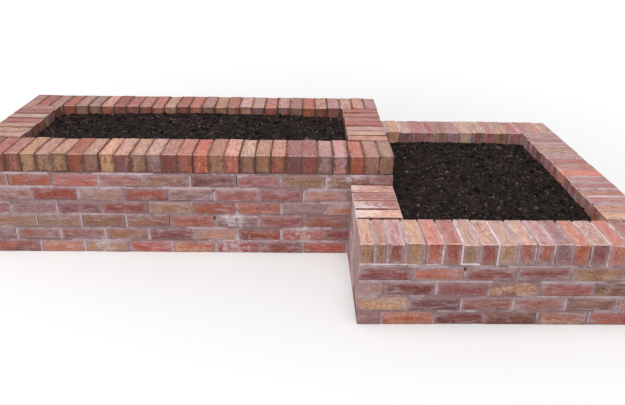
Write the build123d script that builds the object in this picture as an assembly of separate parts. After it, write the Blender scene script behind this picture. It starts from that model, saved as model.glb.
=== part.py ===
from build123d import *
import os

# A brick raised bed in two joined parts, all sizes in millimetres.
# The tall bed is long and stands six courses high. The low bed stands four
# courses high and comes forward at its right-hand end. X runs along the front,
# Y runs from the front to the back, and Z is up from the ground.

# One brick and the mortar joint round it.
BRICK_LENGTH = 215.0
BRICK_WIDTH = 102.5
BRICK_THICKNESS = 65.0
JOINT = 10.0

# How many courses of laid brick stand under each coping.
TALL_COURSES = 6
LOW_COURSES = 4

# Lengths counted in whole bricks laid end to end.
TALL_LENGTH_BRICKS = 9.5
LOW_LENGTH_BRICKS = 6.0
LOW_PROJECTION_BRICKS = 2.5

# Front face to back face of the tall bed.
TALL_DEPTH = 965.0

# How far the top of the soil lies under the top of the coping, and how much
# the soil is heaped in the middle of each bed.
TALL_SOIL_DROP = 42.0
LOW_SOIL_DROP = 52.0
TALL_SOIL_HEAP = 20.0
LOW_SOIL_HEAP = 24.0

# Worn arris along the long top edges of the coping.
COPING_ARRIS = 3.0

# Sizes that follow from the ones above.
MODULE = BRICK_LENGTH + JOINT
COURSE = BRICK_THICKNESS + JOINT
WALL = BRICK_LENGTH
LEAF = WALL / 2
TALL_LENGTH = TALL_LENGTH_BRICKS * MODULE - JOINT
LOW_LENGTH = LOW_LENGTH_BRICKS * MODULE - JOINT
LOW_PROJECTION = LOW_PROJECTION_BRICKS * MODULE
TALL_WALL_TOP = TALL_COURSES * COURSE
LOW_WALL_TOP = LOW_COURSES * COURSE
TALL_TOP = TALL_WALL_TOP + BRICK_WIDTH
LOW_TOP = LOW_WALL_TOP + BRICK_WIDTH

# The low bed starts in line with the inner face of the tall bed's right wall.
TOTAL_LENGTH = TALL_LENGTH + LOW_LENGTH - WALL
TOTAL_DEPTH = TALL_DEPTH + LOW_PROJECTION

# Faces of the two beds in plan, with the origin under the middle of the whole.
TALL_LEFT = -TOTAL_LENGTH / 2
TALL_RIGHT = TALL_LEFT + TALL_LENGTH
LOW_LEFT = TALL_RIGHT - WALL
LOW_RIGHT = LOW_LEFT + LOW_LENGTH
LOW_FRONT = -TOTAL_DEPTH / 2
TALL_FRONT = LOW_FRONT + LOW_PROJECTION
BACK = TALL_FRONT + TALL_DEPTH


def block(x, y, z):
    """A plain box between two values of x, of y and of z."""
    size = Box(x[1] - x[0], y[1] - y[0], z[1] - z[0], align=(Align.MIN, Align.MIN, Align.MIN))
    return Pos(x[0], y[0], z[0]) * size


def course_span(low, high, course, low_laps, high_laps):
    """How far one course of a leaf reaches, counted from the top course down.

    At a bonded corner the two leaves take turns to run through. An end that
    laps takes the first, third and fifth courses, one that doesn't takes the
    others, and an end of None is a plain butt end.
    """
    takes_turn = course % 2 == 0
    start = low if low_laps is None or low_laps == takes_turn else low + LEAF
    end = high if high_laps is None or high_laps == takes_turn else high - LEAF
    return (start, end)


def leaf_along_x(x, y, courses, left_laps, right_laps):
    """One half-brick leaf of a wall that runs left to right."""
    rows = []
    for course in range(courses):
        top = (courses - course) * COURSE
        span = course_span(x[0], x[1], course, left_laps, right_laps)
        rows.append(block(span, y, (top - COURSE, top)))
    return sum(rows[1:], rows[0])


def leaf_along_y(x, y, courses, front_laps, back_laps):
    """One half-brick leaf of a wall that runs front to back."""
    rows = []
    for course in range(courses):
        top = (courses - course) * COURSE
        span = course_span(y[0], y[1], course, front_laps, back_laps)
        rows.append(block(x, span, (top - COURSE, top)))
    return sum(rows[1:], rows[0])


def coping(x, y, bottom):
    """A run of bricks laid on edge across the wall, with both long arrises worn."""
    run = block(x, y, (bottom, bottom + BRICK_WIDTH))
    longest = Axis.X if x[1] - x[0] > y[1] - y[0] else Axis.Y
    arrises = run.faces().sort_by(Axis.Z)[-1].edges().filter_by(longest)
    return fillet(arrises, COPING_ARRIS)


def heaped_soil(x, y, top, heap):
    """Soil that fills a bed up to its walls and is heaped towards the middle.

    A ball of very large radius trims the top, so the soil is highest in the
    middle of the bed and lower by the heap at the corners.
    """
    half_diagonal = ((x[1] - x[0]) ** 2 + (y[1] - y[0]) ** 2) ** 0.5 / 2
    radius = (half_diagonal ** 2 + heap ** 2) / (2 * heap)
    middle = ((x[0] + x[1]) / 2, (y[0] + y[1]) / 2, top - radius)
    fill = block(x, y, (0, top + heap))
    return fill & (Pos(*middle) * Sphere(radius))


def inset(span, amount):
    """The same span, drawn in by an amount at both ends."""
    return (span[0] + amount, span[1] - amount)


parts = {}

# Walls of the tall bed, each one brick thick and built as two leaves.
tall_x = (TALL_LEFT, TALL_RIGHT)
tall_y = (TALL_FRONT, BACK)
for leaf, depth in (("outer", 0), ("inner", LEAF)):
    x = inset(tall_x, depth)
    y = inset(tall_y, depth)
    front = (y[0], y[0] + LEAF)
    back = (y[1] - LEAF, y[1])
    left = (x[0], x[0] + LEAF)
    right = (x[1] - LEAF, x[1])
    parts["tall_front_" + leaf] = leaf_along_x(x, front, TALL_COURSES, True, False)
    parts["tall_back_" + leaf] = leaf_along_x(x, back, TALL_COURSES, True, False)
    parts["tall_left_" + leaf] = leaf_along_y(left, y, TALL_COURSES, False, False)
    parts["tall_right_" + leaf] = leaf_along_y(right, y, TALL_COURSES, True, True)

# Walls of the low bed. Its left wall butts against the front of the tall bed,
# and its back wall butts against the tall bed's right wall.
low_x = (LOW_LEFT, LOW_RIGHT)
low_y = (LOW_FRONT, BACK)
for leaf, depth in (("outer", 0), ("inner", LEAF)):
    x = inset(low_x, depth)
    y = inset(low_y, depth)
    front = (y[0], y[0] + LEAF)
    back = (y[1] - LEAF, y[1])
    left = (x[0], x[0] + LEAF)
    right = (x[1] - LEAF, x[1])
    parts["low_front_" + leaf] = leaf_along_x(x, front, LOW_COURSES, True, True)
    parts["low_left_" + leaf] = leaf_along_y(left, (y[0], TALL_FRONT), LOW_COURSES, False, None)
    parts["low_right_" + leaf] = leaf_along_y(right, y, LOW_COURSES, False, False)
    parts["low_back_" + leaf] = leaf_along_x((TALL_RIGHT, x[1]), back, LOW_COURSES, None, True)

# Coping of the tall bed. The front and back runs go right through the corners.
parts["tall_front_coping"] = coping(tall_x, (TALL_FRONT, TALL_FRONT + WALL), TALL_WALL_TOP)
parts["tall_back_coping"] = coping(tall_x, (BACK - WALL, BACK), TALL_WALL_TOP)
between = inset(tall_y, WALL)
parts["tall_left_coping"] = coping((TALL_LEFT, TALL_LEFT + WALL), between, TALL_WALL_TOP)
parts["tall_right_coping"] = coping((LOW_LEFT, TALL_RIGHT), between, TALL_WALL_TOP)

# Coping of the low bed, two courses lower down.
low_front_y = (LOW_FRONT, LOW_FRONT + WALL)
parts["low_front_coping"] = coping(low_x, low_front_y, LOW_WALL_TOP)
parts["low_left_coping"] = coping((LOW_LEFT, TALL_RIGHT), (low_front_y[1], TALL_FRONT), LOW_WALL_TOP)
low_side_y = (low_front_y[1], BACK - WALL)
parts["low_right_coping"] = coping((LOW_RIGHT - WALL, LOW_RIGHT), low_side_y, LOW_WALL_TOP)
parts["low_back_coping"] = coping((TALL_RIGHT, LOW_RIGHT), (BACK - WALL, BACK), LOW_WALL_TOP)

# The soil in each bed.
tall_inside_x = inset(tall_x, WALL)
tall_soil_top = TALL_TOP - TALL_SOIL_DROP
parts["tall_soil"] = heaped_soil(tall_inside_x, between, tall_soil_top, TALL_SOIL_HEAP)
low_inside_x = (TALL_RIGHT, LOW_RIGHT - WALL)
low_soil_top = LOW_TOP - LOW_SOIL_DROP
parts["low_soil"] = heaped_soil(low_inside_x, low_side_y, low_soil_top, LOW_SOIL_HEAP)

os.makedirs("parts", exist_ok=True)
for name, part in parts.items():
    export_step(part, "parts/" + name + ".step")
    box = part.bounding_box()
    print(name, round(part.volume / 1e6, 3), box.min, box.max)
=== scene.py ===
# %% [markdown]
# Two raised beds of second-hand brick share a wall: a long tall one, and a
# lower one that steps forward at its right end. A CAD frame gives their walls,
# coping and soil as plain solids of the real size, and it stays as it is. This
# script lays every brick over it, fills the joints and breaks up the soil.

# %% Load the frame
import math
import random
from collections import namedtuple
from itertools import chain

import bmesh
import bpy
from mathutils import Matrix, Vector


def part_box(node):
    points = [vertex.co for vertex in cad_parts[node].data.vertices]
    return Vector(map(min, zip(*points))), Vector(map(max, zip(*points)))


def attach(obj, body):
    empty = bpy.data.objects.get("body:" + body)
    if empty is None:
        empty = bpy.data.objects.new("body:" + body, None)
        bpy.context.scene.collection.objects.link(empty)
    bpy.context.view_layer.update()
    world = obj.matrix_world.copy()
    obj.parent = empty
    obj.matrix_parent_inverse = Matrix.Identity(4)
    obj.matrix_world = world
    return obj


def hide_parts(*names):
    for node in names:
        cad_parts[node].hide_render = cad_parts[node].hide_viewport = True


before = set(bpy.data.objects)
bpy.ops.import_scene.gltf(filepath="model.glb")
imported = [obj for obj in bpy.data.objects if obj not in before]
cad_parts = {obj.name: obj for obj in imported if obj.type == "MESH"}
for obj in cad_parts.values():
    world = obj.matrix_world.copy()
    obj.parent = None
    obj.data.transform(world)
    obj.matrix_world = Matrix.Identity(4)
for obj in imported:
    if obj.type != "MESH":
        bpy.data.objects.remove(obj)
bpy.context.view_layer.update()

print("nodes in the frame:", len(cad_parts))

# %% [markdown]
# The camera stands where the photograph was taken from, 1.65 m up, and looks
# down at the beds. It could be set by eye. Brick joints are a better guide:
# their real spacing is known, so the camera's place, turn and lens follow from
# where they fall in the picture, and are written here as numbers. The picture
# is a crop, whose middle is 60 pixels below the point that the lens faced, and
# the camera's shift stands for that.

# %% Camera
IMAGE_WIDTH = 625
FOCAL_PIXELS = 580.4
CROP_PIXELS = 60
SENSOR_WIDTH = 36.0
EYE = (0.0434, -2.8083, 1.6469)
PITCH = math.radians(21.471)
YAW = math.radians(1.156)
ROLL = math.radians(-1.014)


def set_camera():
    data = bpy.data.cameras.new("bed_camera")
    data.sensor_fit = "HORIZONTAL"
    data.sensor_width = SENSOR_WIDTH
    data.lens = SENSOR_WIDTH * FOCAL_PIXELS / IMAGE_WIDTH
    data.shift_y = -CROP_PIXELS / IMAGE_WIDTH
    camera = bpy.data.objects.new("bed_camera", data)
    # An unturned camera looks straight down. This one is rolled, tipped up and swung round.
    swung = Matrix.Rotation(-YAW, 4, "Z")
    tipped = Matrix.Rotation(math.pi / 2 - PITCH, 4, "X")
    rolled = Matrix.Rotation(-ROLL, 4, "Z")
    camera.matrix_world = Matrix.Translation(EYE) @ swung @ tipped @ rolled
    bpy.context.collection.objects.link(camera)
    bpy.context.scene.camera = camera
    return camera


camera = set_camera()
print("lens in mm:", round(camera.data.lens, 2))

# %% [markdown]
# Every material and most shapes here are trees of nodes. Written out in full,
# a tree takes pages, so a few short calls do the work. One makes a node and
# fills its sockets with values or links, and two more stand for sums.

# %% Calls that make nodes
def plug(tree, port, value):
    """Fill a socket with a value, or join another socket to it."""
    if isinstance(value, bpy.types.NodeSocket):
        tree.links.new(value, port)
    else:
        port.default_value = value


def node(tree, kind, ports=None, **settings):
    """Make a node with these settings, and fill its sockets by name or number."""
    made = tree.nodes.new(kind)
    for name, value in settings.items():
        setattr(made, name, value)
    for name, value in (ports or {}).items():
        plug(tree, made.inputs[name], value)
    return made


def maths(tree, operation, *values):
    return node(tree, "ShaderNodeMath", dict(enumerate(values)), operation=operation).outputs[0]


def vectors(tree, operation, *values):
    ports = (0, "Scale") if operation == "SCALE" else (0, 1, 2)
    made = node(tree, "ShaderNodeVectorMath", dict(zip(ports, values)), operation=operation)
    return made.outputs["Value" if operation == "DOT_PRODUCT" else "Vector"]


def parts(tree, vector):
    """The x, y and z of a vector, as three outputs."""
    return node(tree, "ShaderNodeSeparateXYZ", {0: vector}).outputs


def new_material(name):
    """A material, its tree, its main shader, and the coordinates of the object it is on."""
    made = bpy.data.materials.new(name)
    made.use_nodes = True
    tree = made.node_tree
    where = node(tree, "ShaderNodeTexCoord").outputs["Object"]
    return made, tree, tree.nodes["Principled BSDF"], where


calls = plug, node, maths, vectors, parts, new_material
print("calls so far:", ", ".join(call.__name__ for call in calls))

# %% [markdown]
# The studio is plain: a pale floor, one broad lamp overhead, a weak one in
# front and an even pale world. Open sky lights a garden wall mostly from above,
# so the tops come out lighter than the fronts. The light that a lamp at height
# h gives a floor falls to 1 / (1 + d² / h²)² at a distance d, and the floor
# would turn grey behind the beds. It glows by as much as it loses, but for the
# camera alone: the beds are lit no more for it, and keep their shadow.

# %% Floor
LAMP_HEIGHT = 4.4
FLOOR_GLOW = 0.7
FLOOR_GREY = (0.74, 0.74, 0.74, 1.0)
FLOOR_HALF = 60.0


def floor_material():
    made, tree, shader, where = new_material("Pale Floor")
    shader.inputs["Base Color"].default_value = FLOOR_GREY
    shader.inputs["Roughness"].default_value = 0.95
    shader.inputs["Emission Color"].default_value = (1.0, 1.0, 1.0, 1.0)
    squared = vectors(tree, "DOT_PRODUCT", where, where)
    spread = maths(tree, "MULTIPLY_ADD", squared, 1 / LAMP_HEIGHT ** 2, 1.0)
    left = maths(tree, "DIVIDE", 1.0, maths(tree, "MULTIPLY", spread, spread))
    glow = maths(tree, "MULTIPLY_ADD", left, -FLOOR_GLOW, FLOOR_GLOW)
    seen = node(tree, "ShaderNodeLightPath").outputs["Is Camera Ray"]
    plug(tree, shader.inputs["Emission Strength"], maths(tree, "MULTIPLY", glow, seen))
    return made


def add_floor():
    corners = [(x * FLOOR_HALF, y * FLOOR_HALF, 0) for x, y in ((-1, -1), (1, -1), (1, 1), (-1, 1))]
    mesh = bpy.data.meshes.new("studio_floor")
    mesh.from_pydata(corners, [], [(0, 1, 2, 3)])
    mesh.materials.append(floor_material())
    floor = bpy.data.objects.new("studio_floor", mesh)
    bpy.context.collection.objects.link(floor)


add_floor()
print("side of the floor in metres:", 2 * FLOOR_HALF)

# %% [markdown]
# The lamps are broad, so shadows are soft. The world lights from all round, and
# what the camera sees of it is plain white, in gloss and through glass too.

# %% Lamps and world
def add_lamp(name, place, size, watts):
    data = bpy.data.lights.new(name, "AREA")
    data.shape = "SQUARE"
    data.size = size
    data.energy = watts
    lamp = bpy.data.objects.new(name, data)
    lamp.location = place
    aim = Vector((0, 0, 0.2)) - Vector(place)
    lamp.rotation_euler = aim.to_track_quat("-Z", "Y").to_euler()
    bpy.context.collection.objects.link(lamp)


def set_world(strength):
    """Even light from all round, and plain white wherever the world itself is seen."""
    world = bpy.data.worlds.new("studio_world")
    world.use_nodes = True
    tree = world.node_tree
    tree.nodes.clear()
    rays = node(tree, "ShaderNodeLightPath").outputs
    seen = maths(tree, "MAXIMUM", rays["Is Camera Ray"], rays["Is Glossy Ray"])
    seen = maths(tree, "MAXIMUM", seen, rays["Is Transmission Ray"])
    light = node(tree, "ShaderNodeBackground", {"Color": (1, 1, 1, 1), "Strength": strength})
    plain = node(tree, "ShaderNodeBackground", {"Color": (1, 1, 1, 1), "Strength": 1.0})
    mixed = node(tree, "ShaderNodeMixShader", {0: seen, 1: light.outputs[0], 2: plain.outputs[0]})
    node(tree, "ShaderNodeOutputWorld", {"Surface": mixed.outputs[0]})
    bpy.context.scene.world = world


add_lamp("overhead_lamp", (-0.5, -1.3, LAMP_HEIGHT), 3.2, 180)
add_lamp("front_lamp", (1.2, -4.8, 2.2), 3.0, 12)
set_world(0.46)
bpy.context.scene.view_settings.view_transform = "Standard"
print("lamps:", [thing.name for thing in bpy.data.objects if thing.type == "LIGHT"])

# %% [markdown]
# Brick is never one flat colour, so its materials are built from noise. The
# next calls come up in all of them: a cloud of noise, a soft step that picks
# part of its range, and a blend of two colours. Colours are written as on a
# screen, 0 to 255, and turned into the linear light that Blender reckons in.

# %% Calls for textures and colours
def cloud(tree, where, scale, detail=2.0, rough=0.5):
    """Noise between 0 and 1."""
    ports = {"Vector": where, "Scale": scale, "Detail": detail, "Roughness": rough}
    return node(tree, "ShaderNodeTexNoise", ports).outputs["Fac"]


def ease(tree, value, low, high, to_low=0.0, to_high=1.0):
    """Turn a range of values into another, softly at both ends."""
    ports = {"Value": value, "From Min": low, "From Max": high, "To Min": to_low, "To Max": to_high}
    eased = node(tree, "ShaderNodeMapRange", ports, interpolation_type="SMOOTHSTEP")
    return eased.outputs["Result"]


def blend(tree, share, first, second, mode="MIX"):
    ports = {0: share, 6: first, 7: second}
    return node(tree, "ShaderNodeMix", ports, data_type="RGBA", blend_type=mode).outputs[2]


def speckle(tree, shade, amount, dark, light):
    """Make a colour darker or lighter by these factors, from place to place."""
    return blend(tree, 1.0, shade, blend(tree, amount, (*dark, 1), (*light, 1)), "MULTIPLY")


def colour(red, green, blue):
    def linear(part):
        part = part / 255
        return part / 12.92 if part <= 0.04045 else ((part + 0.055) / 1.055) ** 2.4
    return (linear(red), linear(green), linear(blue), 1.0)


print("a mid grey is", [round(part, 3) for part in colour(128, 128, 128)])

# %% [markdown]
# An effect that several materials share is a group: it is built once, with
# named inputs and outputs, and placed in each material with values of its own.
# Each brick also carries a few numbers as attributes of its mesh, such as
# which clay it is, and any material or group can read them by name.

# %% Calls that make and use a group
def new_socket(tree, label, side, kind):
    """A socket of a group, from its kind or from the number that it starts at."""
    name = kind if isinstance(kind, str) else {float: "Float", int: "Int"}[type(kind)]
    made = tree.interface.new_socket(label, in_out=side, socket_type="NodeSocket" + name)
    if name != kind:
        made.default_value = kind


def new_group(name, kind, ins, outs):
    tree = bpy.data.node_groups.new(name, kind)
    for side, sockets in (("INPUT", ins), ("OUTPUT", outs)):
        for label, socket in sockets.items():
            new_socket(tree, label, side, socket)
    return tree, tree.nodes.new("NodeGroupInput").outputs, tree.nodes.new("NodeGroupOutput").inputs


def use_group(tree, group, **ports):
    return node(tree, "ShaderNodeGroup", ports, node_tree=group).outputs


def carried(tree, name, kind="Fac"):
    """What a brick carries under this name."""
    return node(tree, "ShaderNodeAttribute", attribute_name=name).outputs[kind]


print("groups so far:", len(bpy.data.node_groups))

# %% [markdown]
# The bricks came from more than one old wall, so no two match: most are red or
# orange, some are gold, tan, mauve or plum. Each could have a material of its
# own. Here one material serves all: the clays stand side by side on a ramp
# with hard steps, and the number that a brick carries picks its step.

# %% Clays on a shelf
CLAYS = {
    "red": colour(152, 73, 59),
    "orange": colour(164, 90, 68),
    "dull red": colour(136, 67, 58),
    "gold": colour(172, 134, 102),
    "tan": colour(158, 118, 95),
    "plum": colour(116, 70, 76),
    "mauve": colour(150, 114, 120),
    "salmon": colour(178, 110, 94),
    "rose": colour(162, 94, 94),
    "buff": colour(188, 158, 134),
}


def clay_shelf():
    tree, ins, outs = new_group("Clay Shelf", "ShaderNodeTree", {"Pick": 0.0}, {"Color": "Color"})
    ramp = node(tree, "ShaderNodeValToRGB", {"Fac": ins["Pick"]})
    ramp.color_ramp.interpolation = "CONSTANT"
    while len(ramp.color_ramp.elements) < len(CLAYS):
        ramp.color_ramp.elements.new(1.0)
    for number, (stop, shade) in enumerate(zip(ramp.color_ramp.elements, CLAYS.values())):
        stop.position = number / len(CLAYS)
        stop.color = shade
    plug(tree, outs["Color"], ramp.outputs["Color"])
    return tree


CLAY_SHELF = clay_shelf()
print("clays on the shelf:", ", ".join(CLAYS))

# %% [markdown]
# Within one brick the colour varies again. Patches of a second clay run through
# it, the kiln burnt its edges darker in places, and the mould left drag marks
# along its face. The noise for these is laid out in the brick's own
# coordinates, from -1/2 to 1/2 along each side, and moved on by another step
# for each brick, so that no two look alike. Grit of two sizes is laid over it.

# %% Patches, kiln marks and drag marks
BURNT_CLAY = colour(104, 62, 58)
SCRAPED_CLAY = colour(206, 150, 122)
SMOOTHED_CLAY = colour(98, 58, 52)


def two_clays(tree, pick, inside, patches, shift):
    first = use_group(tree, CLAY_SHELF, Pick=pick)["Color"]
    other = maths(tree, "FRACT", maths(tree, "MULTIPLY_ADD", pick, 5.3, 0.37))
    second = use_group(tree, CLAY_SHELF, Pick=other)["Color"]
    spots = vectors(tree, "ADD", vectors(tree, "MULTIPLY", inside, patches), shift)
    spread = ease(tree, cloud(tree, spots, 1.0, 5.0, 0.66), 0.45, 0.58)
    most = maths(tree, "MULTIPLY_ADD", carried(tree, "flash"), 0.55, 0.3)
    return blend(tree, maths(tree, "MULTIPLY", spread, most), first, second)


def kiln_marks(tree, clay, where, edge):
    rim = ease(tree, edge, 0.0, 0.026, 1.0, 0.0)
    burnt = maths(tree, "MULTIPLY_ADD", rim, 0.2, cloud(tree, where, 15.0, 4.0, 0.6))
    burnt = maths(tree, "MULTIPLY", ease(tree, burnt, 0.5, 0.85), carried(tree, "flash"))
    return blend(tree, burnt, clay, BURNT_CLAY)


def drag_marks(tree, clay, inside, drag, shift):
    lines = vectors(tree, "ADD", vectors(tree, "MULTIPLY", inside, drag), shift)
    marks = cloud(tree, lines, 1.0, 6.0, 0.7)
    clay = blend(tree, ease(tree, marks, 0.5, 0.72, 0.0, 0.44), clay, SCRAPED_CLAY)
    clay = blend(tree, ease(tree, marks, 0.48, 0.28, 0.0, 0.48), clay, SMOOTHED_CLAY)
    return clay, marks


print("burnt clay in linear light:", [round(part, 3) for part in BURNT_CLAY])

# %% [markdown]
# The marks and the grit together are the fired clay, the group that every brick
# material shares. Each brick was also fired a little hotter or cooler than the
# next, so all of it is darker or lighter: most a touch dark, and a few pale.

# %% Fired clay
SAND = (0.5, 0.5, 0.5), (1.5, 1.5, 1.5)
GRIT = (0.6, 0.58, 0.57), (1.44, 1.44, 1.44)
FIRING = (0.82, 0.8, 0.8), (1.52, 1.5, 1.5)


def fired_clay():
    tree, ins, outs = new_group("Fired Clay", "ShaderNodeTree",
        {"Where": "Vector", "Edge": 0.0, "Patches": "Vector", "Drag": "Vector"},
        {"Color": "Color", "Height": "Float"})
    where, pick = ins["Where"], carried(tree, "clay")
    place, size = carried(tree, "place", "Vector"), carried(tree, "size", "Vector")
    inside = vectors(tree, "DIVIDE", place, size)
    shift = vectors(tree, "SCALE", (37.0, 71.0, 53.0), pick)
    clay = two_clays(tree, pick, inside, ins["Patches"], shift)
    clay = kiln_marks(tree, clay, where, ins["Edge"])
    clay, marks = drag_marks(tree, clay, inside, ins["Drag"], shift)
    grit = ease(tree, cloud(tree, where, 120.0, 4.0, 0.7), 0.3, 0.7)
    clay = speckle(tree, clay, grit, *GRIT)
    sand = cloud(tree, where, 260.0, 3.0, 0.7)
    clay = speckle(tree, clay, sand, *SAND)
    # A large factor turns the brick's number into another, and the square keeps
    # most of those small.
    pale = maths(tree, "FRACT", maths(tree, "MULTIPLY", pick, 91.7))
    clay = speckle(tree, clay, maths(tree, "POWER", pale, 2.0), *FIRING)
    plug(tree, outs["Color"], clay)
    height = maths(tree, "MULTIPLY_ADD", marks, 1.2, maths(tree, "MULTIPLY", sand, 0.5))
    plug(tree, outs["Height"], height)
    return tree


FIRED_CLAY = fired_clay()
print("nodes in the fired clay:", len(FIRED_CLAY.nodes))

# %% [markdown]
# Kiln marks, grime and mortar all follow the edges of a brick. Blender's own
# bevel and pointiness tricks see only the mesh, so each brick carries its size
# and the place of every point in it, and the distances are reckoned from those.
# On a face, one of the three gaps to the sides is nothing, and the middle one
# of the three is the way to the nearest edge. The ways to the brick's ends, to
# its top, to its underside and to its brow, the edge between its top and its
# face, are put out as well, because each kind of wear keeps to some of them.

# %% Distances to the edges of a brick
def brick_edge():
    tree, _, outs = new_group("Brick Edge", "ShaderNodeTree", {},
        dict.fromkeys(("Edge", "End", "Down", "Up", "Brow"), "Float"))
    place = carried(tree, "place", "Vector")
    half = vectors(tree, "SCALE", carried(tree, "size", "Vector"), 0.5)
    one, two, three = parts(tree, vectors(tree, "SUBTRACT", half, vectors(tree, "ABSOLUTE", place)))
    least, most = maths(tree, "MINIMUM", one, two), maths(tree, "MAXIMUM", one, two)
    plug(tree, outs["Edge"], maths(tree, "MAXIMUM", least, maths(tree, "MINIMUM", most, three)))
    plug(tree, outs["End"], one)
    down = parts(tree, vectors(tree, "SUBTRACT", half, place))[2]
    plug(tree, outs["Down"], down)
    plug(tree, outs["Brow"], maths(tree, "MAXIMUM", two, down))
    plug(tree, outs["Up"], parts(tree, vectors(tree, "ADD", half, place))[2])
    return tree


BRICK_EDGE = brick_edge()
print("distances it gives:", [item.name for item in BRICK_EDGE.interface.items_tree])

# %% [markdown]
# Salts that water carried out of the wall have dried white in a few places. A
# rule such as "near the ground" would whiten the whole foot of the wall. The
# real ones come as patches, so each point carries how salty it is, and noise
# breaks up the rim of the patch. Bricks and mortar share this group.

# %% Bloom of salts
SALT = colour(222, 212, 214)


def salt_bloom():
    tree, ins, outs = new_group("Salt Bloom", "ShaderNodeTree",
        {"Where": "Vector", "Reach": 0.3}, {"Mask": "Float"})
    broad = maths(tree, "MULTIPLY", cloud(tree, ins["Where"], 6.0, 3.0, 0.6), 0.3)
    amount = maths(tree, "MULTIPLY_ADD", cloud(tree, ins["Where"], 42.0, 6.0, 0.76), 0.7, broad)
    amount = maths(tree, "MULTIPLY_ADD", carried(tree, "salt"), 0.28, amount)
    start = maths(tree, "SUBTRACT", 1.0, ins["Reach"])
    plug(tree, outs["Mask"], ease(tree, amount, start, maths(tree, "ADD", start, 0.18)))
    return tree


SALT_BLOOM = salt_bloom()
print("nodes in the salt bloom:", len(SALT_BLOOM.nodes))

# %% [markdown]
# Brick and mortar are both full of sand, and small pits where a grain fell
# out. Real pits in the mesh would take millions of faces, so the grain is a
# height for the Bump node, and a mask that lets dirt settle in the pits.

# %% Sandy grain
DIRT = colour(70, 50, 42)


def sandy_grain():
    tree, ins, outs = new_group("Sandy Grain", "ShaderNodeTree",
        {"Where": "Vector"}, {"Height": "Float", "Pits": "Float"})
    coarse = cloud(tree, ins["Where"], 130.0, 3.0, 0.62)
    fine = cloud(tree, ins["Where"], 700.0, 2.0)
    cells = node(tree, "ShaderNodeTexVoronoi", {"Vector": ins["Where"], "Scale": 105.0})
    pits = ease(tree, cells.outputs["Distance"], 0.12, 0.3, 1.0, 0.0)
    pits = maths(tree, "MULTIPLY", pits, ease(tree, coarse, 0.45, 0.6))
    height = maths(tree, "MULTIPLY_ADD", fine, 0.35, coarse)
    plug(tree, outs["Height"], maths(tree, "MULTIPLY_ADD", pits, -0.8, height))
    plug(tree, outs["Pits"], pits)
    return tree


SANDY_GRAIN = sandy_grain()
print("nodes in the sandy grain:", len(SANDY_GRAIN.nodes))

# %% [markdown]
# A brick's finish is layered in the order in which it came about. Over the
# fired clay lies grime, with a thin film of painted shade over it, then mortar
# that was wiped over the wall while wet and dried as a pale haze, then the
# salts, then dust, partly painted light where it faces up. Each layer is a
# call of its own that takes a colour and gives back a new one. Grime and haze
# start at an edge, and how far in they reach wanders from place to place.

# %% Grime, painted shade and mortar haze
GRIME_AND_SHADE = colour(92, 72, 60)
ROSY_HAZE = colour(176, 142, 139)
LILAC_HAZE = colour(186, 160, 167)
MORTAR_STREAK = colour(214, 198, 203)


def from_edge(tree, distance, uneven, reach, most, wander=0.05):
    """As much as most at the edge, and nothing beyond its reach."""
    return ease(tree, maths(tree, "MULTIPLY_ADD", uneven, wander, distance), 0.0, reach, most, 0.0)


def clamp(tree, value):
    return node(tree, "ShaderNodeClamp", {0: value}).outputs[0]


def add_grime_and_painted_shade(tree, shade, edge, uneven, grime_and_shade):
    """Grime thick at the ends and along the foot, and a thin film all over that is painted shade.
    """
    corner = maths(tree, "MINIMUM", edge["End"], edge["Up"])
    thick = from_edge(tree, corner, uneven, 0.016, grime_and_shade, 0.09)
    # The thin film, a share of the grime colour on every face, is painted shade; the thick part by
    # the ends and the foot is grime.
    return blend(tree, maths(tree, "MAXIMUM", thick, 0.16 * grime_and_shade), shade, GRIME_AND_SHADE)


def haze_mask(tree, edge, uneven, wipes, finish):
    """Thick by the joints and thin where it was wiped. The brick says how much it got."""
    heavy = carried(tree, "haze")
    under = from_edge(tree, edge["Down"], uneven, 0.03, finish["lip"])
    ends = from_edge(tree, edge["End"], uneven, 0.028, finish["ends"])
    foot = from_edge(tree, edge["Up"], uneven, finish["foot_reach"], finish["foot"], 0.08)
    rim = maths(tree, "MAXIMUM", maths(tree, "MAXIMUM", under, ends), foot)
    rim = maths(tree, "MULTIPLY", rim, maths(tree, "MULTIPLY_ADD", heavy, 0.9, 0.4))
    thin = maths(tree, "MULTIPLY_ADD", heavy, 0.2, wipes)
    thin = ease(tree, thin, 0.44, 0.78, 0.0, finish["veil"])
    smear = maths(tree, "MAXIMUM", maths(tree, "SUBTRACT", heavy, 1.0), 0.0)
    return clamp(tree, maths(tree, "MULTIPLY_ADD", smear, 0.3, maths(tree, "MAXIMUM", rim, thin)))


def add_haze(tree, shade, where, edge, uneven, finish):
    wipes = cloud(tree, vectors(tree, "MULTIPLY", where, finish["wipe"]), 10.0, 6.0, 0.7)
    mask = haze_mask(tree, edge, uneven, wipes, finish)
    lilac = ease(tree, cloud(tree, where, 19.0, 4.0, 0.6), 0.4, 0.6)
    shade = blend(tree, mask, shade, blend(tree, lilac, ROSY_HAZE, LILAC_HAZE))
    streak = ease(tree, wipes, 0.5, 0.64, 0.0, 0.58)
    return blend(tree, maths(tree, "MULTIPLY", streak, mask), shade, MORTAR_STREAK)


print("grime in linear light:", [round(part, 3) for part in GRIME_AND_SHADE])

# %% [markdown]
# The tops of the coping lie open to dust and sun and are paler than their
# ends. Part of that is dust, and part is painted light from the sky on what
# faces up. How far a surface faces up comes from its normal, so one mask works
# on any brick, whichever way it lies. Dust lies on the high grains of the clay
# and leaves its pits dark, and is pink on one brick, cream or lilac on the
# next. The upper edge, which is knocked and rubbed, is paler still, partly
# wear and partly a painted highlight.

# %% Dust and painted light on what faces up
ROSY_DUST_AND_PAINTED_LIGHT = colour(222, 170, 166)
CREAM_DUST_AND_PAINTED_LIGHT = colour(234, 206, 184)
LILAC_DUST_AND_PAINTED_LIGHT = colour(210, 182, 188)
RUBBED_EDGE_AND_HIGHLIGHT = colour(232, 200, 190)


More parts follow.
